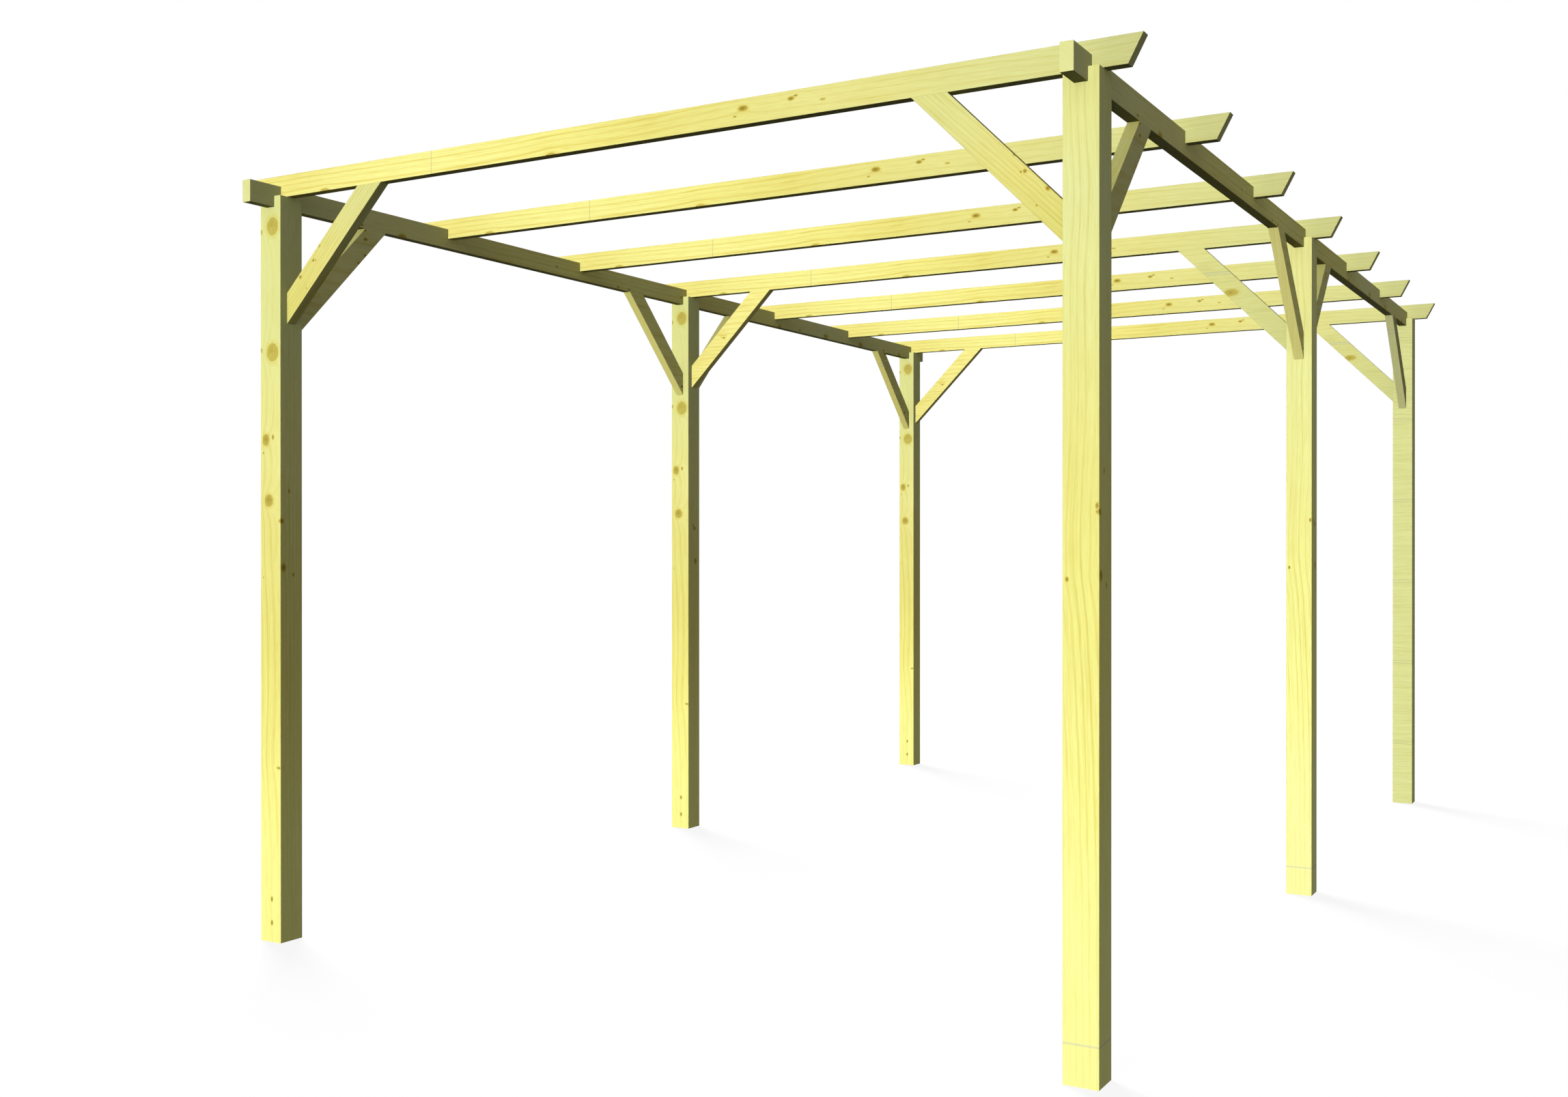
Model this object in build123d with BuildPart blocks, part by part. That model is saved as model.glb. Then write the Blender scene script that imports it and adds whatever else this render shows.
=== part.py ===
"""A free-standing timber garden pergola, made from three stock sizes of planed softwood.

Six square posts stand in two rows. A slot in the top of each post takes a rail that runs the
length of its row. Rafters notched over both rails also bear on the posts, and 45 degree knee
braces stiffen each post towards the middle of the pergola, across it and along it.

The frame has X across the rows, Y along the rails and Z up, in millimetres. The origin is on
the ground at the centre of the plan.
"""

import os
from math import sqrt

from build123d import *

os.makedirs("parts", exist_ok=True)

# ---- driving dimensions ----

post_width = 90.0
post_height = 2400.0

rail_thickness = 34.0
rail_depth = 70.0
rail_length = 5000.0
rail_overhang = 142.0  # from the end of a rail to the centre of the post nearest to it

rafter_thickness = 34.0
rafter_depth = 70.0
rafter_length = 3000.0
rafter_overhang = 142.0  # from the tip of a rafter to the centre of the rail nearest to it
rafter_end_setback = 37.0  # how far the lower corner of a rafter's end is cut back from its tip

brace_thickness = 34.0
brace_depth = 70.0
brace_leg = 409.0  # the long side of a brace's end cuts, measured from the corner that it braces

slot_depth = 35.0  # how far a rail is let down into the posts
joint_clearance = 0.5  # on each side of a rail, in the slots and in the notches
arris_radius = 1.0  # rounding of the long edges of every planed timber

bay_count = 2  # from post to post along a row
rafters_per_bay = 3

# ---- places worked out from them ----

post_spacing = (rail_length - 2 * rail_overhang) / bay_count
rafter_spacing = post_spacing / rafters_per_bay
row_spacing = rafter_length - 2 * rafter_overhang

rail_bottom = post_height - slot_depth
rail_top = rail_bottom + rail_depth
rafter_bottom = post_height
rafter_top = rafter_bottom + rafter_depth
notch_depth = rail_top - rafter_bottom
joint_width = rail_thickness + 2 * joint_clearance

row_x = {"left": -row_spacing / 2, "right": row_spacing / 2}
up = Vector(0, 0, 1)


def centred(count, spacing):
    """The places of count things that stand at a spacing, about zero."""
    return [(index - (count - 1) / 2) * spacing for index in range(count)]


def finish(timber, name):
    """Label a finished timber and write it to its own file."""
    timber.part.label = name
    export_step(timber.part, f"parts/{name}.step")


def make_post(name, x, y):
    """A post, with the slot for its rail cut down the middle of its top."""
    with BuildPart() as post:
        with BuildSketch(Plane((x, y, 0))):
            Rectangle(post_width, post_width)
        extrude(amount=post_height)
        fillet(post.edges().filter_by(Axis.Z), arris_radius)
        with BuildSketch(Plane((x, y, post_height))):
            Rectangle(joint_width, post_width)
        extrude(amount=-slot_depth, mode=Mode.SUBTRACT)
    finish(post, name)


def make_rail(name, x):
    """A rail, square at both ends, that lies in the slots of one row of posts."""
    with BuildPart() as rail:
        with BuildSketch(Plane.XZ):
            with Locations((x, rail_bottom)):
                Rectangle(rail_thickness, rail_depth, align=(Align.CENTER, Align.MIN))
        extrude(amount=rail_length / 2, both=True)
        fillet(rail.edges().filter_by(Axis.Y), arris_radius)
    finish(rail, name)


def make_rafter(name, y):
    """A rafter, notched over both rails, with its ends cut back towards the lower edge."""
    tip = rafter_length / 2
    lower_corner = tip - rafter_end_setback
    with BuildPart() as rafter:
        with BuildSketch(Plane.XZ.offset(-y)):
            with BuildLine():
                Polyline(
                    (-tip, rafter_top),
                    (-lower_corner, rafter_bottom),
                    (lower_corner, rafter_bottom),
                    (tip, rafter_top),
                    close=True,
                )
            make_face()
        extrude(amount=rafter_thickness / 2, both=True)
        fillet(rafter.edges().filter_by(Axis.X), arris_radius)
        with BuildSketch(Plane.XZ.offset(-y)):
            with Locations(*[(x, rafter_bottom) for x in row_x.values()]):
                Rectangle(joint_width, notch_depth, align=(Align.CENTER, Align.MIN))
        extrude(amount=rafter_thickness / 2, both=True, mode=Mode.SUBTRACT)
    finish(rafter, name)


def make_brace(name, corner, outward):
    """A 45 degree knee brace between the face of a post and the underside of a timber above it.

    corner is where the centre line of the post's face meets that underside, and outward is the
    way the brace runs from the post.
    """
    short_leg = brace_leg - brace_depth * sqrt(2)
    with BuildPart() as brace:
        with BuildSketch(Plane(corner, x_dir=outward, z_dir=outward.cross(up))):
            with BuildLine():
                Polyline(
                    (0, -brace_leg),
                    (brace_leg, 0),
                    (short_leg, 0),
                    (0, -short_leg),
                    close=True,
                )
            make_face()
        extrude(amount=brace_thickness / 2, both=True)
        fillet(brace.edges().filter_by(Axis(corner, outward + up)), arris_radius)
    finish(brace, name)


# ---- the pergola ----

for side, x in row_x.items():
    make_rail(f"rail_{side}", x)
    inward = Vector(-1 if x > 0 else 1, 0, 0)

    for index, y in enumerate(centred(bay_count + 1, post_spacing)):
        place = f"{side}_{index + 1}"
        make_post(f"post_{place}", x, y)

        inner_face = Vector(x, y, rafter_bottom) + inward * (post_width / 2)
        make_brace(f"rafter_brace_{place}", inner_face, inward)

        for end, along in (("front", Vector(0, -1, 0)), ("back", Vector(0, 1, 0))):
            if 0 <= index + along.Y <= bay_count:
                end_face = Vector(x, y, rail_bottom) + along * (post_width / 2)
                make_brace(f"rail_brace_{place}_{end}", end_face, along)

for index, y in enumerate(centred(bay_count * rafters_per_bay + 1, rafter_spacing)):
    make_rafter(f"rafter_{index + 1}", y)
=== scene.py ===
"""Finishes the timbers of a free-standing softwood pergola and sets it up in a plain studio.

Six posts in two rows carry a rail along each row, seven rafters across them and knee braces
in both directions. Every timber keeps its built shape and gets its own board of planed,
pressure-treated pine: growth rings about a heart that wanders inside the tree, knots that
grow out of that heart and push the rings aside, a slow change of colour along the length,
fine fibres and the odd mark left by the planer.

The frame has X across the rows, Y along the rails and Z up, in metres. Places inside one
timber are in millimetres, measured from its start, its centre line and the way it faces.
"""

from __future__ import annotations

import logging
import math
from collections.abc import Iterable, Sequence
from dataclasses import dataclass, replace
from enum import Enum

import bpy
from mathutils import Euler, Matrix, Vector

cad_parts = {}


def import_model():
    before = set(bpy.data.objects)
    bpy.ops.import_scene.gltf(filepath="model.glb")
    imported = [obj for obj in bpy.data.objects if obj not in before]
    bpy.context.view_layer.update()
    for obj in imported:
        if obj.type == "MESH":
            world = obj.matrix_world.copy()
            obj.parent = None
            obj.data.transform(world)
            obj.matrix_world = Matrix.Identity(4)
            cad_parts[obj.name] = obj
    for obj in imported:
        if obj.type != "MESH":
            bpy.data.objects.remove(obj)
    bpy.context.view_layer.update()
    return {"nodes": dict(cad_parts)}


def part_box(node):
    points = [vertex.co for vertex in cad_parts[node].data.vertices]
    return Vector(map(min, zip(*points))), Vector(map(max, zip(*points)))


LOG = logging.getLogger("pergola")

Colour = tuple[float, float, float]
Place = tuple[float, float, float]
Stop = tuple[float, Colour]
Run = tuple[float, float, float]
Socket = bpy.types.NodeSocket
Value = Socket | float | Sequence[float]

MM = 0.001

RIGHT = Vector((1, 0, 0))
BACK = Vector((0, 1, 0))
UP = Vector((0, 0, 1))


# ---- node wiring ----


@dataclass(frozen=True)
class Noise:
    """A soft noise that stretches along the grain.

    Attributes:
        scales: How fine it is along each axis.
        detail: How many finer layers it has.
        roughness: How strong those layers are.
    """

    scales: Place
    detail: float
    roughness: float = 0.5


class Wiring:
    """Adds nodes to one node tree and joins them up."""

    COLUMN = 190.0
    GIVES_NUMBER = ("DOT_PRODUCT", "LENGTH")

    def __init__(self, tree: bpy.types.NodeTree) -> None:
        """Take the tree that the nodes go into."""
        self.tree = tree

    def node(
        self, kind: str, inputs: dict[str | int, Value] | None = None, **settings: object
    ) -> bpy.types.Node:
        """Add a node to the right of the ones before it.

        Args:
            kind: Blender's name for the node type.
            inputs: What goes into its sockets, by their names or numbers.
            settings: Properties to set on it.

        Returns:
            The new node.
        """
        made = self.tree.nodes.new(kind)
        made.location = (len(self.tree.nodes) * self.COLUMN, 0)
        for name, value in settings.items():
            setattr(made, name, value)
        for name, value in (inputs or {}).items():
            self.feed(made.inputs[name], value)
        return made

    def feed(self, socket: Socket, value: Value) -> None:
        """Join another node's output to a socket, or set the socket to a plain value.

        Args:
            socket: The input to feed.
            value: An output socket, a number, or the three numbers of a vector or colour.
        """
        if isinstance(value, Socket):
            self.tree.links.new(value, socket)
        elif socket.type == "RGBA":
            socket.default_value = (*value, 1.0)
        else:
            socket.default_value = value

    def maths(self, operation: str, *values: Value) -> Socket:
        """Work something out with a Math node."""
        made = self.node("ShaderNodeMath", dict(enumerate(values)), operation=operation)
        return made.outputs["Value"]

    def vector(self, operation: str, *values: Value) -> Socket:
        """Work something out with a Vector Math node, as a vector or a number."""
        made = self.node("ShaderNodeVectorMath", dict(enumerate(values)), operation=operation)
        return made.outputs["Value" if operation in self.GIVES_NUMBER else "Vector"]

    def product(self, first: Value, *others: Value) -> Value:
        """Multiply numbers together."""
        for other in others:
            first = self.maths("MULTIPLY", first, other)
        return first

    def split(self, vector: Value) -> bpy.types.NodeOutputs:
        """Return the X, Y and Z of a vector."""
        return self.node("ShaderNodeSeparateXYZ", {"Vector": vector}).outputs

    def join(self, x: Value, y: Value) -> Socket:
        """Return the vector that has this X and Y, and no Z."""
        return self.node("ShaderNodeCombineXYZ", {"X": x, "Y": y}).outputs["Vector"]

    def step(self, value: Value, start: float, end: float, full: float = 1.0) -> Socket:
        """Rise smoothly from 0 at start to full at end, or fall where end comes first.

        Args:
            value: What is measured.
            start: Where the result is 0.
            end: Where the result is full.
            full: The highest result.

        Returns:
            The result.
        """
        inputs = {"Value": value, "From Min": start, "From Max": end, "To Max": full}
        made = self.node("ShaderNodeMapRange", inputs, interpolation_type="SMOOTHSTEP")
        return made.outputs["Result"]

    def between(self, value: Value, low: float, high: float) -> Socket:
        """Spread a 0 to 1 value over the range from low to high."""
        return self.maths("MULTIPLY_ADD", value, high - low, low)

    def mix(self, factor: Value, first: Value, second: Value, blend: str = "MIX") -> Socket:
        """Blend two colours.

        Args:
            factor: How much of the second shows.
            first: The colour underneath.
            second: The colour on top.
            blend: Blender's blend type.

        Returns:
            The blended colour.
        """
        made = self.node("ShaderNodeMix", data_type="RGBA", blend_type=blend)
        ends = {socket.identifier: socket for socket in (*made.inputs, *made.outputs)}
        self.feed(ends["Factor_Float"], factor)
        self.feed(ends["A_Color"], first)
        self.feed(ends["B_Color"], second)
        return ends["Result_Color"]

    def tint(self, factor: Value, wood: Value, colour: Colour) -> Socket:
        """Multiply the wood's colour by another, as far as the factor says."""
        return self.mix(factor, wood, colour, "MULTIPLY")

    def ramp(self, value: Value, stops: Sequence[Stop], way: str = "LINEAR") -> Socket:
        """Turn a 0 to 1 value into a colour.

        Args:
            value: The value.
            stops: Places from 0 to 1 and the colours there, in order.
            way: Blender's name for how it goes from stop to stop.

        Returns:
            The colour.
        """
        made = self.node("ShaderNodeValToRGB", {"Fac": value})
        band = made.color_ramp
        band.interpolation = way
        while len(band.elements) < len(stops):
            band.elements.new(1.0)
        while len(band.elements) > len(stops):
            band.elements.remove(band.elements[-1])
        for element, (place, colour) in zip(band.elements, stops):
            element.position = place
            element.color = (*colour, 1.0)
        return made.outputs["Color"]

    def noise(self, point: Value, kind: Noise, seed: Value = (0.0, 0.0, 0.0)) -> Socket:
        """Read a noise.

        Args:
            point: Where it is read.
            kind: The noise.
            seed: What is added to the place, so that each board has its own.

        Returns:
            Its value, from 0 to 1.
        """
        inputs = {
            "Vector": self.vector("MULTIPLY_ADD", point, kind.scales, seed),
            "Scale": 1.0,
            "Detail": kind.detail,
            "Roughness": kind.roughness,
        }
        return self.node("ShaderNodeTexNoise", inputs).outputs["Fac"]


def empty_wiring(owner: bpy.types.Material | bpy.types.World) -> Wiring:
    """Return the wiring of a material or of the surroundings, with no nodes in it."""
    owner.use_nodes = True
    owner.node_tree.nodes.clear()
    return Wiring(owner.node_tree)


def group_wiring(
    name: str, vectors: Iterable[str], numbers: Iterable[str], results: Iterable[str]
) -> tuple[Wiring, bpy.types.NodeOutputs]:
    """Start a node group.

    Args:
        name: The group's name.
        vectors: The names of its inputs that are vectors.
        numbers: The names of its inputs that are numbers.
        results: The names of its outputs, which are all numbers.

    Returns:
        The wiring of the group, and its inputs by name.
    """
    tree = bpy.data.node_groups.new(name, "ShaderNodeTree")
    for labels, way, kind in (
        (vectors, "INPUT", "Vector"),
        (numbers, "INPUT", "Float"),
        (results, "OUTPUT", "Float"),
    ):
        for label in labels:
            tree.interface.new_socket(label, in_out=way, socket_type=f"NodeSocket{kind}")
    wiring = Wiring(tree)
    return wiring, wiring.node("NodeGroupInput").outputs


def greys(levels: Iterable[tuple[float, float]]) -> list[Stop]:
    """Turn the level at each place into a grey."""
    return [(place, (level, level, level)) for place, level in levels]


# ---- what pine looks like ----

WHITE: Colour = (1.0, 1.0, 1.0)
LATEWOOD: Colour = (0.80, 0.68, 0.28)
DULL_LATEWOOD: Colour = (0.75, 0.75, 0.58)
PALE_MARK: Colour = (0.60, 0.61, 0.44)
DULL_MARK: Colour = (0.42, 0.44, 0.25)


class Side(Enum):
    """A side of a board, as the way out of it across and towards its face."""

    FACE = (0.0, 1.0)
    BACK = (0.0, -1.0)
    EDGE = (1.0, 0.0)
    OTHER_EDGE = (-1.0, 0.0)


@dataclass(frozen=True)
class Knot:
    """A branch that the board was cut through.

    Attributes:
        along: How far its middle is from the start of the board, in mm.
        aside: How far its middle is from the centre line of its side, in mm.
        radius: Half its width across the board, in mm.
        stretch: Its length along the grain, as a share of its width.
        darkness: 0 for a pale live knot, 1 for a dark dead one.
        side: The side of the board that it comes out of.
        depth: How far it reaches into the board before it ends in a point, in mm.
    """

    along: float
    aside: float
    radius: float
    stretch: float
    darkness: float = 0.0
    side: Side = Side.FACE
    depth: float = 60.0

    def outlet(self, half: float) -> tuple[Vector, Vector]:
        """Find where it comes out of a board.

        Args:
            half: Half the thickness of the board, in mm.

        Returns:
            Its middle on that side, and the way out of the board there.
        """
        across, towards = self.side.value
        branch = Vector((0.0, across, towards))
        place = Vector((self.along, self.aside * abs(towards), self.aside * abs(across)))
        return place + branch * half, branch


@dataclass(frozen=True)
class Mark:
    """A thin dull line across a board, or with the grain where the grain is level.

    Attributes:
        place: Its distance from the start of the board, or its height above that start
            where the grain is level, in mm.
        width: Its width, in mm.
        strength: How clearly it shows, from 0 to 1.
        colour: Its linear red, green and blue.
        every: The distance to the next such mark, or 0 for only one.
    """

    place: float
    width: float
    strength: float
    colour: Colour = PALE_MARK
    every: float = 0.0


class Grain(Enum):
    """Which way the fibres run in a board."""

    ALONG = "along the board"
    LEVEL = "level, whichever way the board lies"


@dataclass(frozen=True)
class Board:
    """The figure and colour of one board of pine.

    Attributes:
        tones: The colour of its clear wood at places from 0 at its start to 1 at its end.
        heart: The heart of the tree: across and towards the face, in mm.
        ring: The distance between growth rings, in mm.
        contrast: How dark the ring lines are, from 0 to 1.
        wave: How far the rings waver, in mm.
        first: The distance from the heart of one of the ring lines, in mm.
        years: How dark each year's line is, from 0 to 1, outwards from that line and
            then over again.
        late: What the ring lines take from the colour of the clear wood.
        slant: How far the rings drift outwards for each mm along the grain.
        push: How far a knot pushes the rings out, as a share of its own size.
        grain: Which way its fibres run.
        runs: How the rings run: the place, from 0 to 1, how far the heart has moved
            across there, in mm, and how clearly the rings show, from 0 to 1.
        knots: Its knots.
        marks: Its planer marks.
        edges: Shade and light painted on its two narrow long faces, a brace's upper and lower faces,
            as a share of its faces' colour.
        half: Half its thickness, in mm.
    """

    tones: tuple[Stop, ...]
    heart: tuple[float, float]
    ring: float
    contrast: float
    wave: float
    first: float = 0.0
    years: tuple[float, ...] = (0.8, 0.5, 1.0, 0.6, 0.9, 0.4, 0.7)
    late: Colour = LATEWOOD
    slant: float = 0.0
    push: float = 1.0
    grain: Grain = Grain.ALONG
    runs: tuple[Run, ...] = ((0.0, 0.0, 1.0),)
    knots: tuple[Knot, ...] = ()
    marks: tuple[Mark, ...] = ()
    edges: Colour = WHITE
    half: float = 17.0


@dataclass(frozen=True)
class Lie:
    """How a timber lies in the pergola.

    Attributes:
        start: The middle of the end that it is measured from, in metres.
        along: The way its length runs.
        facing: The way its measured face looks.
        length: Its length, in metres.
    """

    start: Vector
    along: Vector
    facing: Vector
    length: float

    def turn(self) -> Matrix:
        """Return the matrix that turns the timber's own axes into the frame's."""
        across = self.facing.cross(self.along)
        return Matrix((self.along, across, self.facing)).transposed()

    def level(self) -> Lie:
        """Return the same place with its length laid level."""
        return replace(self, along=UP.cross(self.facing))


class Pine:
    """Makes materials of planed pine, all from the same two node groups.

    What is read by Wiring.step holds where something starts to show, where it shows in
    full and how strongly. A range holds the values at 0 and at 1.
    """

    FIBRE: Colour = (0.93, 0.90, 0.82)
    HALO: Colour = (0.93, 0.85, 0.58)
    DEAD: Colour = (0.60, 0.45, 0.25)
    CRACK: Colour = (0.74, 0.72, 0.24)
    BLEACH: Colour = (1.04, 1.05, 1.12)

    # The fine figure of clear wood.
    SEED_STEPS = Vector((1.37, 0.71, 2.13))
    SWAY_NOISE = Noise((0.0032, 0.011, 0.011), 1.5, 0.45)
    FADE_NOISE = Noise((0.005, 3.7, 0.0), 1.0)
    FADE_RANGE = (0.60, 1.40)
    STREAK_NOISE = Noise((0.006, 0.33, 0.0), 3.0, 0.6)
    STREAKS = (0.44, 0.72, 0.55)
    FIBRE_NOISE = Noise((0.02, 0.45, 0.45), 2.0, 0.6)
    FIBRES = (0.38, 0.68, 0.65)
    CLOUD_NOISE = Noise((0.004, 0.018, 0.018), 2.0)
    CLOUDS = (0.40, 0.70, 0.50)
    # Where the painted shade and light of the narrow faces starts and shows in full, in mm across.
    PAINTED_FACE_SPAN = (33.5, 34.5)
    MARK_EDGE = 1.0

    # The ring lines: how dark they are through the year, and where the heart runs.
    LINE_PLACE = 0.80
    LINE = (
        (0.00, 0.08), (0.10, 0.02), (0.50, 0.05), (0.67, 0.26), (0.74, 0.70),
        (LINE_PLACE, 1.00), (0.86, 0.70), (0.92, 0.24), (1.00, 0.08),
    )
    HALF_YEAR = 0.5
    RUN_MIDDLE = 0.5
    RUN_RANGE = 200.0

    # The knots, mostly in their own radii from the middle.
    NO_KNOT = {"Nearest": 9.0, "Shade": 0.0, "Size": 0.0, "Turn": 0.0, "Push": 0.0}
    KNOT_PULL = 1.55
    KNOT_PUSH = 1.2
    KNOT_TIP = 1.0
    KNOT_NOISE = Noise((0.07, 0.11, 0.11), 1.5)
    KNOT_RANGE = (0.88, 1.12)
    KNOT_INSIDE = (1.03, 0.97)
    KNOT_AROUND = (1.80, 0.95, 0.80)
    KNOT_REACH = 1.5
    KNOT_TONES: tuple[Stop, ...] = (
        (0.00, (0.38, 0.30, 0.050)), (0.07, (0.46, 0.38, 0.070)), (0.14, (0.52, 0.44, 0.080)),
        (0.40, (0.54, 0.46, 0.085)), (0.58, (0.56, 0.48, 0.092)), (0.65, (0.47, 0.38, 0.058)),
        (0.68, (0.60, 0.52, 0.120)),
    )
    GROWTH = 30.0
    GROWTH_LINES = (0.2, 0.9, 0.75)
    GROWTH_INSIDE = (1.0, 0.6)
    GROWTH_UPPER = (0.6, -0.4)
    DEAD_RANGE = (1.25, 0.15)

    # The drying cracks of large knots: the way each runs, and how far.
    CRACKS = ((-0.75, 0.85), (2.40, 0.90), (0.80, 0.45))
    CRACK_SIZE = 10.0
    CRACK_WIDTH = (0.055, 0.015)
    CRACK_AHEAD = (0.0, 0.2)
    CRACK_END = 0.1
    CRACK_STRENGTH = 0.5

    # The planed surface.
    DULLNESS = (0.70, 0.88)
    KNOT_SHINE = 0.10
    SHEEN = 0.05
    RELIEF = 0.35 * MM
    RELIEF_STRENGTH = 0.3

    def __init__(self) -> None:
        """Build the node groups."""
        self.rings = self._ring_group()
        self.knot = self._knot_group()

    def _ring_group(self) -> bpy.types.NodeTree:
        """Build the group that draws growth rings and fibres about a heart.

        Returns:
            The group.
        """
        wiring, given = group_wiring(
            "growth_rings",
            ("Point", "Heart", "Seed"),
            ("Ring", "First", "Wave", "Slant", "Push"),
            ("Line", "Year", "Fine", "Fibre"),
        )
        point, seed = given["Point"], given["Seed"]
        arm = wiring.vector("SUBTRACT", point, given["Heart"])
        arm = wiring.vector("MULTIPLY", arm, BACK + UP)
        sway = wiring.between(wiring.noise(point, self.SWAY_NOISE, seed), -0.5, 0.5)
        sway = wiring.product(sway, given["Wave"])
        radius = wiring.maths("ADD", wiring.vector("LENGTH", arm), sway)
        radius = wiring.maths("SUBTRACT", radius, given["Push"])
        along = wiring.split(point)["X"]
        radius = wiring.maths("MULTIPLY_ADD", along, given["Slant"], radius)
        phase = wiring.maths("SUBTRACT", radius, given["First"])
        phase = wiring.maths("DIVIDE", phase, given["Ring"])
        phase = wiring.maths("ADD", phase, self.LINE_PLACE)
        year = wiring.maths("FLOOR", phase)
        line = wiring.ramp(wiring.maths("FRACT", phase), greys(self.LINE), "EASE")
        fade = wiring.noise(wiring.join(along, year), self.FADE_NOISE, seed)
        line = wiring.product(line, wiring.between(fade, *self.FADE_RANGE))
        fine = wiring.noise(wiring.join(along, radius), self.STREAK_NOISE, seed)
        fibre = wiring.noise(point, self.FIBRE_NOISE)
        results = {"Line": line, "Year": year, "Fine": fine, "Fibre": fibre}
        wiring.node("NodeGroupOutput", results)
        return wiring.tree

    def _knot_group(self) -> bpy.types.NodeTree:
        """Build the group that adds one knot to the knots before it.

        A knot is a cone that widens from its root to the side that it comes out of.

        Returns:
            The group.
        """
        wiring, given = group_wiring(
            "knot",
            ("Point", "Root", "Branch", "Squeeze"),
            ("Reach", "Radius", "Darkness", *self.NO_KNOT),
            self.NO_KNOT,
        )
        arm = wiring.vector("SUBTRACT", given["Point"], given["Root"])
        arm = wiring.vector("MULTIPLY", arm, given["Squeeze"])
        out = wiring.vector("DOT_PRODUCT", arm, given["Branch"])
        aside = wiring.vector("DOT_PRODUCT", arm, arm)
        aside = wiring.maths("SUBTRACT", aside, wiring.product(out, out))
        aside = wiring.maths("SQRT", wiring.maths("MAXIMUM", aside, 0.0))
        share = wiring.maths("MAXIMUM", out, self.KNOT_TIP)
        share = wiring.maths("DIVIDE", share, given["Reach"])
        width = wiring.product(share, given["Radius"])
        near = wiring.maths("DIVIDE", aside, width)
        closer = wiring.maths("LESS_THAN", near, given["Nearest"])
        parts = wiring.split(arm)
        side = wiring.maths("ADD", parts["Y"], parts["Z"])
        side = wiring.maths("SUBTRACT", side, out)
        turn = wiring.maths("ARCTAN2", side, parts["X"])
        pull = wiring.maths("POWER", wiring.maths("DIVIDE", near, self.KNOT_PULL), 2.0)
        pull = wiring.maths("DIVIDE", width, wiring.maths("ADD", pull, 1.0))
        results = {
            "Nearest": wiring.maths("MINIMUM", near, given["Nearest"]),
            "Push": wiring.maths("MULTIPLY_ADD", pull, self.KNOT_PUSH, given["Push"]),
        }
        owns = {"Shade": given["Darkness"], "Size": given["Radius"], "Turn": turn}
        for name, own in owns.items():
            change = wiring.maths("SUBTRACT", own, given[name])
            results[name] = wiring.maths("MULTIPLY_ADD", change, closer, given[name])
        wiring.node("NodeGroupOutput", results)
        return wiring.tree

    def _local(self, wiring: Wiring, lie: Lie) -> Socket:
        """Measure a timber from its own start, in mm.

        Args:
            wiring: The material's wiring.
            lie: How the timber lies.

        Returns:
            The place along, across and towards the face.
        """
        inputs = {
            "Vector": wiring.node("ShaderNodeTexCoord").outputs["Object"],
            "Location": lie.start,
            "Rotation": lie.turn().to_euler(),
            "Scale": (MM, MM, MM),
        }
        return wiring.node("ShaderNodeMapping", inputs, vector_type="TEXTURE").outputs["Vector"]

    def _knots(self, wiring: Wiring, point: Socket, board: Board, turn: Matrix) -> dict[str, Value]:
        """Add a board's knots, one after another.

        Args:
            wiring: The material's wiring.
            point: The place in the grain's own axes, in mm.
            board: The board.
            turn: What turns the timber's own axes into the grain's.

        Returns:
            Nearest, the distance from the nearest knot in its own radii, that knot's Shade,
            Size and Turn about its middle, and Push, how far the knots push the rings out.
        """
        found: dict[str, Value] = self.NO_KNOT
        for knot in board.knots:
            place, branch = (turn @ vector for vector in knot.outlet(board.half))
            inputs = {
                "Point": point,
                "Root": place - branch * knot.depth,
                "Branch": branch,
                "Squeeze": (1.0 / knot.stretch, 1.0, 1.0),
                "Reach": knot.depth,
                "Radius": knot.radius,
                "Darkness": knot.darkness,
                **found,
            }
            made = wiring.node("ShaderNodeGroup", inputs, node_tree=self.knot)
            found = {name: made.outputs[name] for name in found}
        return found

    def _run(
        self, wiring: Wiring, point: Socket, share: Socket, board: Board
    ) -> tuple[Socket, Socket]:
        """Follow the heart along the board.

        Args:
            wiring: The material's wiring.
            point: The place in the grain's own axes, in mm.
            share: How far along the board it is, from 0 to 1.
            board: The board.

        Returns:
            The place as the rings see it, and how clearly they show there.
        """
        stops = [
            (place, (bold, self.RUN_MIDDLE + across / self.RUN_RANGE, 0.0))
            for place, across, bold in board.runs
        ]
        parts = wiring.split(wiring.ramp(share, stops, "CARDINAL"))
        across = wiring.maths("SUBTRACT", parts["Y"], self.RUN_MIDDLE)
        shift = wiring.join(0.0, wiring.product(across, self.RUN_RANGE))
        return wiring.vector("SUBTRACT", point, shift), parts["X"]

    def material(self, name: str, lie: Lie, board: Board, seed: int) -> bpy.types.Material:
        """Make the material of one timber.

        Args:
            name: The timber's name.
            lie: How it lies.
            board: The board it is cut from.
            seed: A number that makes its finer figure its own.

        Returns:
            The material.
        """
        made = bpy.data.materials.new(f"pine_{name}")
        wiring = empty_wiring(made)
        point = self._local(wiring, lie)
        parts = wiring.split(point)
        share = wiring.maths("DIVIDE", parts["X"], lie.length / MM)
        grain_lie, marked = lie, parts["X"]
        if board.grain is Grain.LEVEL:
            grain_lie = lie.level()
            point = self._local(wiring, grain_lie)
            marked = wiring.split(point)["Y"]
        turn = grain_lie.turn().transposed() @ lie.turn()
        knots = self._knots(wiring, point, board, turn)
        followed, bold = self._run(wiring, point, share, board)
        inputs = {
            "Point": followed,
            "Heart": (0.0, *board.heart),
            "Seed": self.SEED_STEPS * seed,
            "Ring": board.ring,
            "First": board.first,
            "Wave": board.wave,
            "Slant": board.slant,
            "Push": wiring.product(knots["Push"], board.push),
        }
        rings = wiring.node("ShaderNodeGroup", inputs, node_tree=self.rings).outputs

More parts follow.
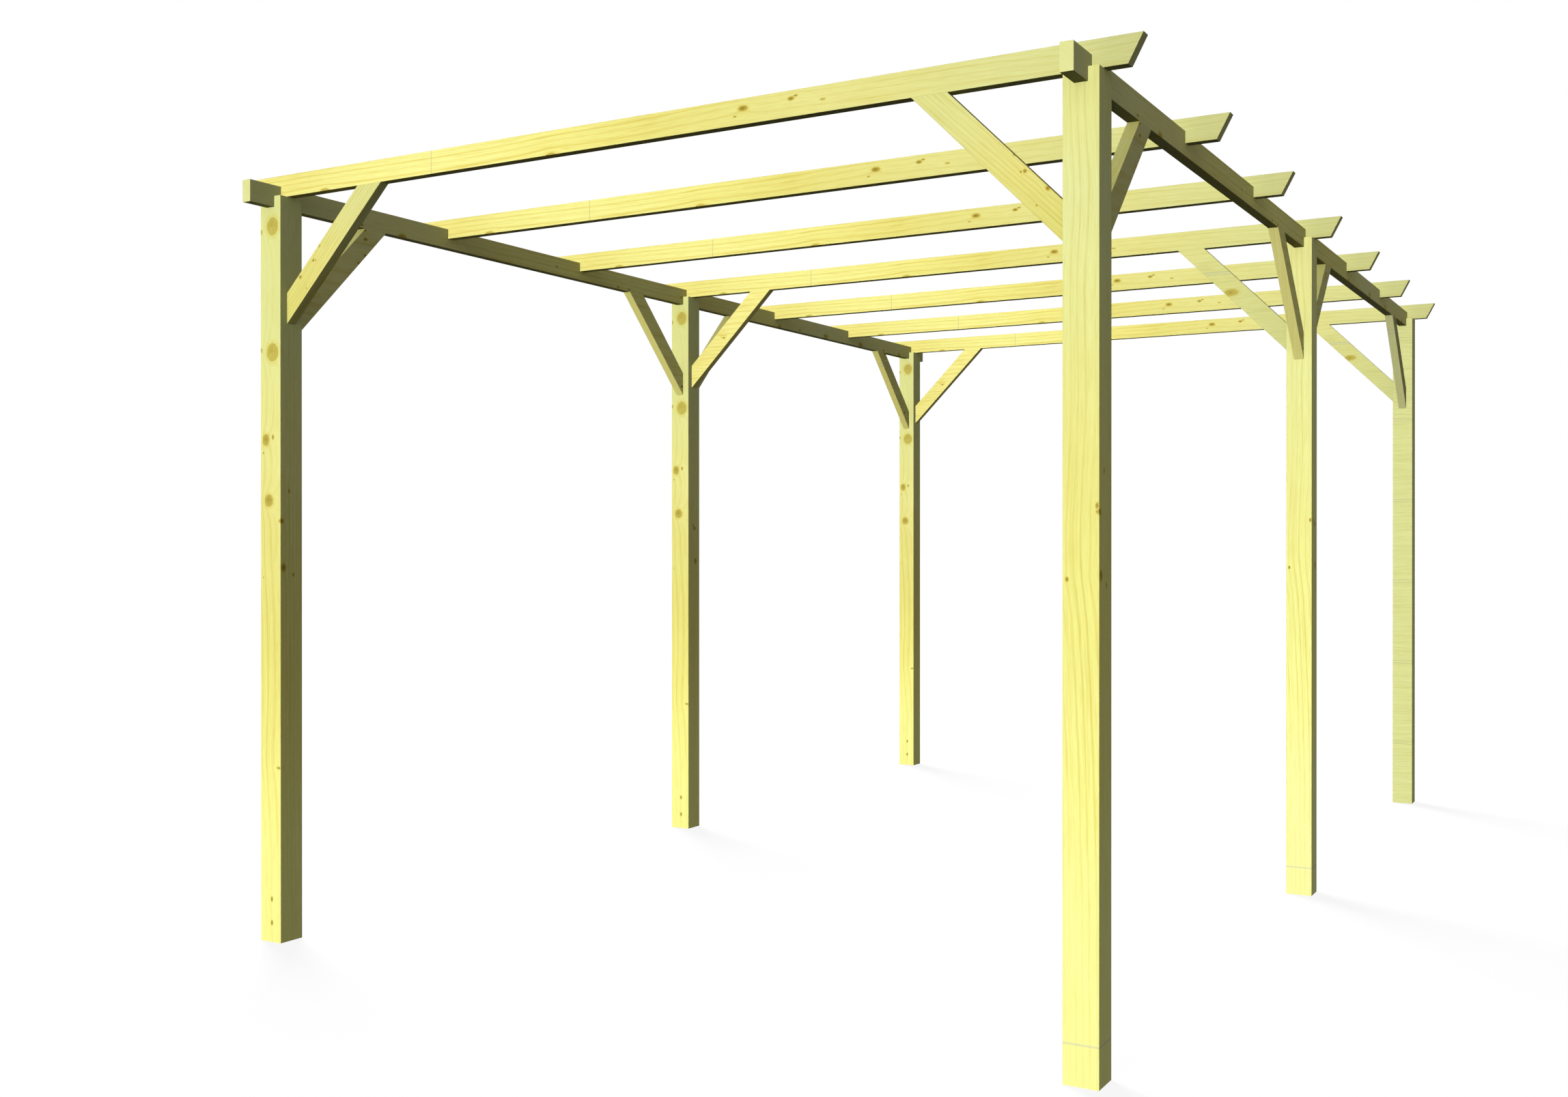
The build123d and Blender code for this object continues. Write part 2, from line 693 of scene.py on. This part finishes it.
        wood = wiring.ramp(share, board.tones)
        # Paint shade and light on the narrow upper and lower faces.
        if board.edges != WHITE:
            edge = wiring.step(wiring.maths("ABSOLUTE", parts["Y"]), *self.PAINTED_FACE_SPAN)
            wood = wiring.tint(edge, wood, board.edges)
        drawn = wiring.product(bold, board.contrast)
        line = self._lines(wiring, rings, board)
        wood = wiring.tint(wiring.product(line, drawn), wood, board.late)
        streaks = wiring.step(rings["Fine"], *self.STREAKS)
        wood = wiring.tint(wiring.product(streaks, drawn), wood, board.late)
        wood = wiring.tint(wiring.step(rings["Fibre"], *self.FIBRES), wood, self.FIBRE)
        pale = wiring.step(wiring.noise(point, self.CLOUD_NOISE), *self.CLOUDS)
        wood = wiring.tint(pale, wood, self.BLEACH)
        for mark in board.marks:
            wood = self._marked(wiring, wood, marked, mark)
        dull = wiring.between(rings["Fibre"], *self.DULLNESS)
        if board.knots:
            wood, inside = self._knotted(wiring, wood, point, knots, board)
            dull = wiring.maths("MULTIPLY_ADD", inside, -self.KNOT_SHINE, dull)
        self._surface(wiring, wood, dull, rings["Fibre"])
        return made

    def _lines(self, wiring: Wiring, rings: bpy.types.NodeOutputs, board: Board) -> Socket:
        """Draw each year's ring line as dark as the board has it.

        Args:
            wiring: The material's wiring.
            rings: What the group of growth rings gives.
            board: The board.

        Returns:
            How dark the ring lines are, from 0 to 1.
        """
        count = len(board.years)
        year = wiring.maths("ADD", rings["Year"], self.HALF_YEAR)
        year = wiring.maths("FRACT", wiring.maths("DIVIDE", year, count))
        stops = greys((n / count, dark) for n, dark in enumerate(board.years))
        return wiring.product(wiring.ramp(year, stops, "CONSTANT"), rings["Line"])

    def _knotted(
        self, wiring: Wiring, wood: Socket, point: Socket, knots: dict[str, Value], board: Board
    ) -> tuple[Socket, Socket]:
        """Lay the knots over the wood.

        Args:
            wiring: The material's wiring.
            wood: The colour so far.
            point: The place in the grain's own axes, in mm.
            knots: What the board's knots gave there.
            board: The board.

        Returns:
            The colour with the knots, and where they are, from 0 to 1.
        """
        edge = wiring.between(wiring.noise(point, self.KNOT_NOISE), *self.KNOT_RANGE)
        near = wiring.product(knots["Nearest"], edge)
        wood = wiring.tint(wiring.step(near, *self.KNOT_AROUND), wood, self.HALO)
        inside = wiring.step(near, *self.KNOT_INSIDE)
        body = wiring.ramp(wiring.maths("DIVIDE", near, self.KNOT_REACH), self.KNOT_TONES)
        waves = wiring.maths("SINE", wiring.product(near, self.GROWTH))
        growth = wiring.product(
            wiring.step(waves, *self.GROWTH_LINES),
            wiring.step(near, *self.GROWTH_INSIDE),
            wiring.step(wiring.maths("COSINE", knots["Turn"]), *self.GROWTH_UPPER),
        )
        body = wiring.tint(growth, body, LATEWOOD)
        if max(knot.radius for knot in board.knots) > 2 * self.CRACK_SIZE:
            body = self._cracked(wiring, body, near, knots)
        core = wiring.product(wiring.between(near, *self.DEAD_RANGE), knots["Shade"])
        body = wiring.tint(core, body, self.DEAD)
        return wiring.mix(inside, wood, body), inside

    def _cracked(self, wiring: Wiring, body: Socket, near: Socket, knots: dict[str, Value]) -> Socket:
        """Draw the drying cracks of large knots.

        Args:
            wiring: The material's wiring.
            body: The colour of the knots.
            near: The distance from the nearest knot's middle, in its own radii.
            knots: What the board's knots gave there.

        Returns:
            The colour with the cracks.
        """
        sizes = (self.CRACK_SIZE, 2 * self.CRACK_SIZE, self.CRACK_STRENGTH)
        large = wiring.step(knots["Size"], *sizes)
        for angle, reach in self.CRACKS:
            turn = wiring.maths("SUBTRACT", knots["Turn"], angle)
            away = wiring.product(wiring.maths("SINE", turn), near)
            crack = wiring.product(
                wiring.step(wiring.maths("ABSOLUTE", away), *self.CRACK_WIDTH),
                wiring.step(wiring.maths("COSINE", turn), *self.CRACK_AHEAD),
                wiring.step(near, reach + self.CRACK_END, reach - self.CRACK_END),
                large,
            )
            body = wiring.mix(crack, body, self.CRACK)
        return body

    def _marked(self, wiring: Wiring, wood: Socket, along: Socket, mark: Mark) -> Socket:
        """Lay a planer mark across the wood.

        Args:
            wiring: The material's wiring.
            wood: The colour so far.
            along: What the mark's place is measured along, in mm.
            mark: The mark.

        Returns:
            The colour with the mark.
        """
        away = wiring.maths("SUBTRACT", along, mark.place)
        if mark.every:
            away = wiring.maths("PINGPONG", away, mark.every / 2)
        away = wiring.maths("ABSOLUTE", away)
        half = mark.width / 2
        outer, inner = half + self.MARK_EDGE, half - self.MARK_EDGE
        return wiring.mix(wiring.step(away, outer, inner, mark.strength), wood, mark.colour)

    def _surface(self, wiring: Wiring, wood: Socket, dull: Socket, height: Socket) -> None:
        """Make the shader of the wood.

        Args:
            wiring: The material's wiring.
            wood: Its colour.
            dull: Its roughness.
            height: Its fine relief, from 0 to 1.
        """
        inputs = {"Strength": self.RELIEF_STRENGTH, "Distance": self.RELIEF, "Height": height}
        bump = wiring.node("ShaderNodeBump", inputs)
        inputs = {
            "Base Color": wood,
            "Roughness": dull,
            "Specular IOR Level": self.SHEEN,
            "Normal": bump.outputs["Normal"],
        }
        surface = wiring.node("ShaderNodeBsdfPrincipled", inputs)
        wiring.node("ShaderNodeOutputMaterial", {"Surface": surface.outputs["BSDF"]})


# ---- the boards ----

EARLY_SIDE_KNOTS = (
    Knot(1045, 40, 7.5, 1.15, 0.75, Side.EDGE, 22),
    Knot(1195, 32, 9, 1.5, 0.65, Side.EDGE),
    Knot(948, 9, 3.5, 2, 0.4, Side.EDGE),
    Knot(1218, -8, 3.5, 2, 0.7, Side.EDGE),
)
LATE_SIDE_KNOTS = (
    Knot(1045, -5, 7.5, 1.15, 0.75, Side.EDGE),
    Knot(1032, 6, 4, 1.5, 0.4, Side.EDGE),
    Knot(1195, -13, 9, 1.5, 0.65, Side.EDGE),
)

LEFT_POST = Board(
    tones=(
        (0.05, (0.75, 0.77, 0.30)), (0.17, (0.75, 0.77, 0.30)), (0.27, (0.80, 0.79, 0.29)),
        (0.37, (0.82, 0.79, 0.28)), (0.54, (0.81, 0.76, 0.23)), (0.63, (0.84, 0.79, 0.23)),
        (0.71, (0.89, 0.84, 0.25)), (0.79, (0.94, 0.91, 0.28)), (0.90, (0.95, 0.94, 0.30)),
    ),
    heart=(60, -60),
    ring=15,
    first=112,
    years=(0.75, 1.0, 0.5, 0.4),
    contrast=0.68,
    wave=2,
    runs=(
        (0.0, 0, 0.22), (0.10, 0, 0.25), (0.29, 0, 0.42), (0.40, -10, 0.60), (0.46, -14, 0.85),
        (0.50, -13, 0.70), (0.54, -7, 0.70), (0.59, -3, 0.80), (0.67, 0, 0.85),
        (0.75, -7, 0.80), (0.79, 0, 0.60), (0.84, 9, 0.50), (1.0, 18, 0.35),
    ),
    knots=(
        Knot(97, 9.5, 24.5, 1.17, depth=110),
        Knot(502, 9.5, 24.5, 1.17, depth=110),
        Knot(112, -41, 3.5, 2.2),
        Knot(494, -41, 3.5, 2.2),
        Knot(783, -21, 14.5, 1.3, 0.35),
        Knot(979, -8, 18, 1.1, 0.35, depth=110),
        Knot(775, 11, 4.5, 1.8, 0.75),
        Knot(825, -33, 2.5, 1.4, 0.6),
        Knot(1227, -33, 2, 1.4, 0.3),
        Knot(1838, 36, 8, 0.5, 0.3),
        Knot(2262, 5, 4.5, 1.9, 0.7),
        Knot(2338, 5, 4.5, 1.9, 0.7),
    ),
    half=45,
)
RIGHT_POST = Board(
    tones=(
        (0.04, (0.76, 0.77, 0.29)), (0.12, (0.77, 0.79, 0.34)), (0.21, (0.79, 0.80, 0.31)),
        (0.38, (0.83, 0.80, 0.26)), (0.54, (0.88, 0.85, 0.26)), (0.63, (0.91, 0.88, 0.28)),
        (0.71, (0.94, 0.92, 0.29)), (0.80, (0.95, 0.95, 0.33)),
    ),
    heart=(78, -60),
    ring=11.3,
    first=113.5,
    years=(0.55, 1.0, 0.80, 0.75, 0.35, 0.30, 0.6, 0.5),
    contrast=0.66,
    wave=2,
    runs=(
        (0.04, 0, 0.60), (0.125, 9, 0.60), (0.21, 0, 0.60), (0.33, 2, 0.60), (0.42, -7, 0.70),
        (0.485, -10, 0.80), (0.535, 2, 0.90), (0.59, 11, 1.0), (0.66, 19, 1.0),
        (0.80, 28, 0.60), (1.0, 30, 0.40),
    ),
    knots=(
        Knot(1204, -34, 4, 1.5, 0.6),
        Knot(1031, 40, 4, 1.8, 0.5),
        Knot(1640, -6, 10, 1.3, 0.3, Side.BACK),
        Knot(420, 10, 8, 1.4, 0.4, Side.OTHER_EDGE),
    ),
    marks=(Mark(2300, 5, 0.55),),
    half=45,
)
MIDDLE_POST = replace(
    RIGHT_POST,
    tones=(
        (0.04, (0.80, 0.80, 0.31)), (0.21, (0.83, 0.85, 0.34)), (0.38, (0.87, 0.86, 0.31)),
        (0.54, (0.91, 0.91, 0.31)), (0.71, (0.95, 0.95, 0.33)), (0.80, (0.96, 0.96, 0.37)),
    ),
)
BACK_POST = Board(
    tones=((0.0, (0.71, 0.73, 0.30)), (1.0, (0.72, 0.74, 0.30))),
    heart=(3600, -60),
    ring=7.5,
    years=(0.6, 0.3, 0.5, 0.2, 0.9, 0.3, 0.0, 0.1, 0.5, 0.2, 0.7, 0.3, 0.4, 0.0, 0.1),
    contrast=0.85,
    late=DULL_LATEWOOD,
    wave=34,
    slant=0.02,
    grain=Grain.LEVEL,
    marks=(Mark(-94, 3.5, 0.45, DULL_MARK, 400), Mark(-106, 3.5, 0.45, DULL_MARK, 400)),
    half=45,
)
RAIL = Board(
    tones=(
        (0.03, (0.74, 0.75, 0.31)), (0.12, (0.82, 0.79, 0.30)), (0.24, (0.86, 0.81, 0.27)),
        (0.40, (0.94, 0.92, 0.30)), (0.54, (0.84, 0.79, 0.26)), (0.64, (0.81, 0.77, 0.24)),
        (0.74, (0.77, 0.77, 0.32)), (0.94, (0.79, 0.76, 0.26)),
    ),
    heart=(-70, -50),
    ring=13,
    first=92,
    contrast=0.7,
    wave=10,
    runs=(
        (0.0, 0, 0.20), (0.19, 0, 0.35), (0.24, 0, 0.90),
        (0.57, 0, 0.90), (0.64, 0, 0.30), (1.0, 0, 0.30),
    ),
    knots=(
        Knot(480, -25, 3.5, 2.5, 0.6),
        Knot(676, -33, 10, 1.9, 0.2),
        Knot(1545, -5, 3.5, 2, 0.7),
        Knot(1960, -27, 4, 1.8, 0.5),
        Knot(2040, -27, 4, 1.8, 0.5),
        Knot(2440, -5, 4, 1.8, 0.5),
        Knot(3320, -31, 8, 2, 0.2),
        Knot(3525, -24, 4, 2, 0.6),
        Knot(3800, -24, 11, 2.2, 0.1),
        Knot(4200, -24, 11, 2.2, 0.1),
        Knot(4480, -25, 5, 1.8, 0.5),
        Knot(4680, -28, 7, 1.6, 0.3),
    ),
)
RAFTER = Board(
    tones=(
        (0.08, (0.86, 0.80, 0.25)), (0.20, (0.94, 0.90, 0.31)), (0.33, (0.94, 0.90, 0.31)),
        (0.43, (0.91, 0.86, 0.27)), (0.53, (0.83, 0.77, 0.23)), (0.67, (0.79, 0.75, 0.26)),
        (0.77, (0.76, 0.73, 0.26)), (0.87, (0.72, 0.72, 0.29)), (0.93, (0.69, 0.70, 0.28)),
        # The last stop makes the right tip darker.
        (0.975, (0.58, 0.59, 0.24)),
    ),
    heart=(-55, -43),
    ring=11.8,
    first=66.3,
    years=(0.85, 0.60, 1.0, 0.45, 0.4),
    contrast=0.75,
    wave=1.5,
    runs=(
        (0.0, 6, 0.90), (0.13, 4, 0.90), (0.33, 0, 1.0), (0.43, 7, 1.0), (0.53, 10, 0.90),
        (0.61, 18, 0.60), (0.67, 13, 0.35), (0.77, 9, 0.48), (0.86, 8, 0.48),
        (0.94, -2, 0.40), (1.0, 2, 0.40),
    ),
    knots=(
        Knot(355, -36, 8, 2.4),
        Knot(1260, -37, 8, 2.4),
        Knot(1909, 8, 7.5, 2, 0.8),
        Knot(1884, -11, 2.2, 2.4, 0.5),
        Knot(2057, 13, 5.2, 1.9, 0.8),
        Knot(2071, 19, 2.8, 2.2, 0.6),
        Knot(2152, -2, 2.8, 2.8),
    ),
    marks=(Mark(804, 4, 0.4, DULL_MARK),),
)
RAFTER_BRACE = Board(
    tones=((0.1, (0.73, 0.69, 0.20)), (0.4, (0.77, 0.72, 0.23)), (0.8, (0.73, 0.73, 0.28))),
    heart=(60, -25),
    ring=9.5,
    first=61,
    years=(0.7, 0.9, 0.8, 1.0, 0.6),
    contrast=0.52,
    wave=2.5,
    runs=((0.1, -8, 1.0), (0.31, -6, 1.0), (0.52, 0, 1.0), (0.69, 4, 1.0), (1.0, 8, 1.0)),
    knots=(
        Knot(145, 25, 5.2, 1.2, 0.8),
        Knot(220, 18, 4.5, 1.1, 0.8),
        Knot(227, 10, 2.6, 1.1, 0.7),
        Knot(270, 29, 3, 1.8, 0.2),
        Knot(138, -22, 2.2, 1.2, 0.6),
    ),
)
RIGHT_RAFTER_BRACE = replace(
    RAFTER_BRACE,
    heart=(-60, -25),
    knots=(
        Knot(133, -31, 5.2, 1.2, 0.8),
        Knot(208, -24, 4.5, 1.1, 0.8),
        Knot(215, -16, 2.6, 1.1, 0.7),
        Knot(258, -35, 3, 1.8, 0.2),
        Knot(126, 16, 2.2, 1.2, 0.6),
    ),
)
GOLDEN_BRACE = Board(
    tones=((0.0, (0.91, 0.84, 0.27)), (1.0, (0.96, 0.90, 0.31))),
    heart=(600, -3000),
    ring=2.5,
    contrast=0.68,
    wave=3,
    push=1.6,
    grain=Grain.LEVEL,
    knots=(Knot(272, -5, 3.2, 2.4, 1.0),),
)
GREEN_BRACE = Board(
    tones=((0.0, (0.68, 0.70, 0.28)), (1.0, (0.75, 0.73, 0.27))),
    heart=(600, -3000),
    ring=1.3,
    contrast=0.5,
    late=DULL_LATEWOOD,
    wave=1,
    push=0.12,
    grain=Grain.LEVEL,
    knots=(Knot(312, 17, 12, 2.1, 0.15),),
    marks=(
        Mark(285, 14, 0.25),
        Mark(281, 2, 0.30, DULL_MARK),
        Mark(289, 2, 0.30, DULL_MARK),
    ),
)
RAIL_BRACE = Board(
    tones=((0.0, (0.70, 0.68, 0.25)), (1.0, (0.72, 0.69, 0.27))),
    heart=(600, -3000),
    ring=6,
    first=3028.9,
    years=(0.8, 0.1, 0.6, 0.7, 0.1, 0.8),
    contrast=0.6,
    wave=0.8,
    push=0.12,
    grain=Grain.LEVEL,
    knots=(
        Knot(483, 8, 5, 1.8, 0.7),
        Knot(400, -33, 5, 1.6, 0.6),
        Knot(442, -31, 4, 1.6, 0.7),
        Knot(503, 32, 4.5, 1.5, 0.6, depth=10),
    ),
    marks=(
        Mark(320, 12, 0.06),
        Mark(315, 2, 0.32, DULL_MARK),
        Mark(325, 2, 0.32, DULL_MARK),
    ),
    # Painted shade on its upper and lower faces.
    edges=(0.76, 0.78, 0.70),
)
# A lighter copy for the left row: painted light that makes up for the shade the right row casts on
# it, with painted shade on its upper and lower faces.
LEFT_RAIL_BRACE = replace(
    RAIL_BRACE,
    tones=((0.0, (0.88, 0.84, 0.31)), (1.0, (0.85, 0.82, 0.31))),
    edges=(0.65, 0.66, 0.62),
)
BRIGHT_RAIL_BRACE = replace(
    RAIL_BRACE,
    tones=((0.0, (0.88, 0.83, 0.27)), (1.0, (0.89, 0.83, 0.28))),
    knots=(Knot(33, 15, 4.5, 2, 0.8),),
    marks=(),
    # Slight painted shade on its upper and lower faces.
    edges=(0.96, 0.98, 1.05),
)
# A lighter copy for the left row: painted light that makes up for the shade the right row casts on
# it, with painted shade on its upper and lower faces.
LEFT_BRIGHT_RAIL_BRACE = replace(
    BRIGHT_RAIL_BRACE,
    tones=((0.0, (0.95, 0.92, 0.30)),),
    edges=(0.90, 0.89, 0.89),
)
DULL_RAIL_BRACE = replace(
    RAIL_BRACE,
    tones=((0.0, (0.41, 0.40, 0.15)), (1.0, (0.42, 0.41, 0.16))),
    ring=0.95,
    wave=1.2,
    knots=(
        Knot(106, 13, 4.5, 2.4, 0.5),
        Knot(511, -23, 9, 1.5, 0.4),
        Knot(485, -8, 4, 1.6, 0.6),
        Knot(436, 23, 4, 1.6, 0.6),
    ),
    marks=(
        Mark(315, 14, 0.15),
        Mark(308, 2.5, 0.50, DULL_MARK),
        Mark(322, 2.5, 0.50, DULL_MARK),
    ),
    # Painted light on its upper and lower faces.
    edges=(1.54, 1.62, 2.00),
)
LEFT_DULL_RAIL_BRACE = replace(
    DULL_RAIL_BRACE,
    tones=((0.0, (0.78, 0.75, 0.25)), (1.0, (0.79, 0.76, 0.26))),
    ring=2.5,
    contrast=0.7,
    # Slight painted shade on its upper and lower faces.
    edges=(1.0, 0.98, 0.90),
)


def with_knots(board: Board, knots: tuple[Knot, ...]) -> Board:
    """Return a board with more knots."""
    return replace(board, knots=board.knots + knots)


POSTS = {
    "post_left_1": with_knots(LEFT_POST, EARLY_SIDE_KNOTS),
    "post_left_2": with_knots(LEFT_POST, LATE_SIDE_KNOTS),
    "post_left_3": LEFT_POST,
    "post_right_1": with_knots(RIGHT_POST, EARLY_SIDE_KNOTS),
    "post_right_2": with_knots(MIDDLE_POST, LATE_SIDE_KNOTS),
    "post_right_3": BACK_POST,
}
RAILS = {"rail_left": RAIL, "rail_right": RAIL}
RAFTERS = {f"rafter_{number}": RAFTER for number in range(1, 8)}
RAFTER_BRACES = {
    "rafter_brace_left_1": RAFTER_BRACE,
    "rafter_brace_left_2": GOLDEN_BRACE,
    "rafter_brace_left_3": GOLDEN_BRACE,
    "rafter_brace_right_1": RIGHT_RAFTER_BRACE,
    "rafter_brace_right_2": GREEN_BRACE,
    "rafter_brace_right_3": GREEN_BRACE,
}
RAIL_BRACES = {
    "rail_brace_left_1_back": LEFT_RAIL_BRACE,
    "rail_brace_left_2_front": LEFT_BRIGHT_RAIL_BRACE,
    "rail_brace_left_2_back": LEFT_RAIL_BRACE,
    "rail_brace_left_3_front": LEFT_DULL_RAIL_BRACE,
    "rail_brace_right_1_back": RAIL_BRACE,
    "rail_brace_right_2_front": BRIGHT_RAIL_BRACE,
    "rail_brace_right_2_back": RAIL_BRACE,
    "rail_brace_right_3_front": DULL_RAIL_BRACE,
}


# ---- the timbers ----


def laid(name: str, way: Vector, facing: Vector) -> Lie:
    """Work out how a timber lies from the box that it fills.

    Args:
        name: The timber.
        way: The way its length runs, as -1, 0 or 1 on each axis.
        facing: The way its measured face looks.

    Returns:
        How it lies.
    """
    low, high = (Vector(corner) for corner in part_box(name))
    run = way * (high - low)
    return Lie((low + high - run) / 2, run.normalized(), facing, run.length)


@dataclass
class Timbers:
    """A sub-assembly: timbers of one kind, each cut from its own board.

    Attributes:
        pine: What makes their materials.
        nodes: The built timbers, by name.
        boards: The boards, by the names of the timbers that are cut from them.
    """

    pine: Pine
    nodes: dict[str, bpy.types.Object]
    boards: dict[str, Board]

    def lie(self, name: str) -> Lie:
        """Return how a timber lies."""
        raise NotImplementedError

    def dress(self) -> None:
        """Give every timber its material.

        Names of one length share a seed, so that like timbers have like figures.
        """
        for name, board in self.boards.items():
            material = self.pine.material(name, self.lie(name), board, seed=len(name))
            mesh = self.nodes[name].data
            mesh.materials.clear()
            mesh.materials.append(material)
            LOG.info("%s: %s", name, material.name)


class Posts(Timbers):
    """The six square posts."""

    def lie(self, name: str) -> Lie:
        """Measure a post from its top downwards, facing the front."""
        return laid(name, -UP, -BACK)


class Rails(Timbers):
    """The two rails let into the tops of the posts."""

    def lie(self, name: str) -> Lie:
        """Measure a rail from its front end, facing right."""
        return laid(name, BACK, RIGHT)


class Rafters(Timbers):
    """The seven rafters notched over the rails."""

    def lie(self, name: str) -> Lie:
        """Measure a rafter from its left tip, facing the front."""
        return laid(name, RIGHT, -BACK)


class Braces(Timbers):
    """Knee braces that lean out from the posts at 45 degrees."""

    DEPTH = 70 * MM

    def leaning(self, name: str, away: Vector, facing: Vector) -> Lie:
        """Measure a brace from its tip on the post.

        Args:
            name: The brace.
            away: The level way in which it leans off the post.
            facing: The way its measured face looks.

        Returns:
            How it lies.
        """
        edge = laid(name, UP + away, facing)
        middle = edge.start + (UP - away).normalized() * self.DEPTH / 2
        return replace(edge, start=middle)


class RafterBraces(Braces):
    """The knee braces between the posts and the rafters."""

    def lie(self, name: str) -> Lie:
        """Measure a brace from its tip on the post, facing the front."""
        return self.leaning(name, RIGHT if "left" in name else -RIGHT, -BACK)


class RailBraces(Braces):
    """The knee braces between the posts and the rails."""

    def lie(self, name: str) -> Lie:
        """Measure a brace from its tip on the post, facing right."""
        return self.leaning(name, BACK if name.endswith("back") else -BACK, RIGHT)


# ---- the studio ----


@dataclass(frozen=True)
class Sun:
    """A distant lamp whose light doesn't bounce from timber to timber.

    Attributes:
        name: Its name.
        towards: Where its light comes from, as seen from the pergola.
        level: How brightly it lights a white surface that faces it, where 1 is white.
        spread: How wide it looks in the sky, in degrees.
        shadows: Whether it casts shadows.
        colour: The colour of its light.
    """

    name: str
    towards: Place
    level: float
    spread: float
    shadows: bool = True
    colour: Colour = WHITE

    def build(self) -> None:
        """Add the lamp."""
        lamp = bpy.data.lights.new(self.name, "SUN")
        lamp.energy = self.level * math.pi
        lamp.angle = math.radians(self.spread)
        lamp.color = self.colour
        lamp.use_shadow = self.shadows
        lamp.cycles.max_bounces = 0
        holder = bpy.data.objects.new(self.name, lamp)
        holder.rotation_euler = Vector(self.towards).to_track_quat("Z", "Y").to_euler()
        bpy.context.scene.collection.objects.link(holder)


@dataclass(frozen=True)
class Studio:
    """The plain pale studio: camera, floor, surroundings and lamps.

    Attributes:
        eye: Where the camera stands.
        aim: Its rotation, in degrees.
        lens: Its focal length, in mm.
        sensor: The width of its sensor, in mm.
        reach: How far it sees, in metres.
        floor_size: The side of the floor.
        floor_glow: The light that the floor gives off to the eye.
        floor_seen: The floor's colour to the eye, besides that light.
        floor_lit: Its colour to the light that bounces off it.
        sky_colour: The colour of the light from all around.
        sky_level: How strong that light is.
        suns: The lamps.
    """

    eye: Place = (2.6029, -5.9408, 1.2749)
    aim: Place = (89.906, 0.005, 30.101)
    lens: float = 36.0
    sensor: float = 36.0
    reach: float = 1000.0
    floor_size: float = 400.0
    floor_glow: float = 0.885
    floor_seen: Colour = (0.25, 0.25, 0.25)
    floor_lit: Colour = (0.05, 0.05, 0.05)
    sky_colour: Colour = (0.90, 0.95, 1.80)
    sky_level: float = 0.02
    suns: tuple[Sun, ...] = (
        Sun("key", (0.09, -1.0, 0.0), 0.86, 5.0, shadows=False),
        Sun("soft", (0.03, -1.0, 0.12), 0.36, 80.0),
        Sun("side", (1.0, -0.2, 0.05), 0.085, 80.0, colour=(0.96, 0.98, 1.30)),
        Sun("rear", (-0.75, 0.55, 0.45), 0.95, 30.0),
    )

    def build(self) -> None:
        """Set the whole studio up."""
        self._camera()
        self._floor()
        self._world()
        for sun in self.suns:
            sun.build()
        LOG.info("studio: camera, floor, surroundings and %d lamps", len(self.suns))

    def _camera(self) -> None:
        """Put the camera in place."""
        data = bpy.data.cameras.new("camera")
        data.lens = self.lens
        data.sensor_width = self.sensor
        data.clip_end = self.reach
        camera = bpy.data.objects.new("camera", data)
        camera.location = self.eye
        camera.rotation_euler = Euler([math.radians(angle) for angle in self.aim])
        bpy.context.scene.collection.objects.link(camera)
        bpy.context.scene.camera = camera

    def _chosen(self, wiring: Wiring, lit: Socket, seen: Socket) -> Socket:
        """Choose a shader by what a ray is for.

        Args:
            wiring: The wiring that needs it.
            lit: The shader for rays that carry light.
            seen: The shader for rays from the camera, a mirror or glass.

        Returns:
            The shader.
        """
        path = wiring.node("ShaderNodeLightPath").outputs
        sees = wiring.maths("MAXIMUM", path["Is Camera Ray"], path["Is Glossy Ray"])
        sees = wiring.maths("MAXIMUM", sees, path["Is Transmission Ray"])
        inputs = {"Fac": sees, 1: lit, 2: seen}
        return wiring.node("ShaderNodeMixShader", inputs).outputs["Shader"]

    def _floor(self) -> None:
        """Lay the floor: white to the eye with soft shadows, and dull to the light."""
        bpy.ops.object.select_all(action="DESELECT")
        bpy.ops.mesh.primitive_plane_add(size=self.floor_size)
        floor = bpy.context.active_object
        floor.name = "studio_floor"
        material = bpy.data.materials.new("studio_floor")
        wiring = empty_wiring(material)
        glow = wiring.node("ShaderNodeEmission", {"Color": WHITE, "Strength": self.floor_glow})
        sheet = wiring.node("ShaderNodeBsdfDiffuse", {"Color": self.floor_seen})
        inputs = {0: glow.outputs["Emission"], 1: sheet.outputs["BSDF"]}
        seen = wiring.node("ShaderNodeAddShader", inputs)
        lit = wiring.node("ShaderNodeBsdfDiffuse", {"Color": self.floor_lit})
        chosen = self._chosen(wiring, lit.outputs["BSDF"], seen.outputs["Shader"])
        wiring.node("ShaderNodeOutputMaterial", {"Surface": chosen})
        floor.data.materials.append(material)

    def _world(self) -> None:
        """Surround the pergola with white that lights it only a little."""
        world = bpy.data.worlds.new("studio")
        bpy.context.scene.world = world
        wiring = empty_wiring(world)
        shaders = []
        for colour, level in ((self.sky_colour, self.sky_level), (WHITE, 1.0)):
            sky = wiring.node("ShaderNodeBackground", {"Color": colour, "Strength": level})
            shaders.append(sky.outputs["Background"])
        wiring.node("ShaderNodeOutputWorld", {"Surface": self._chosen(wiring, *shaders)})


def main() -> None:
    """Load the timbers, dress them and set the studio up."""
    logging.basicConfig(level=logging.INFO, format="%(name)s: %(message)s")
    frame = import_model()
    pine = Pine()
    for kind, boards in (
        (Posts, POSTS),
        (Rails, RAILS),
        (Rafters, RAFTERS),
        (RafterBraces, RAFTER_BRACES),
        (RailBraces, RAIL_BRACES),
    ):
        kind(pine, frame["nodes"], boards).dress()
    Studio().build()
    bpy.context.scene.view_settings.view_transform = "Standard"


if __name__ == "__main__":
    main()
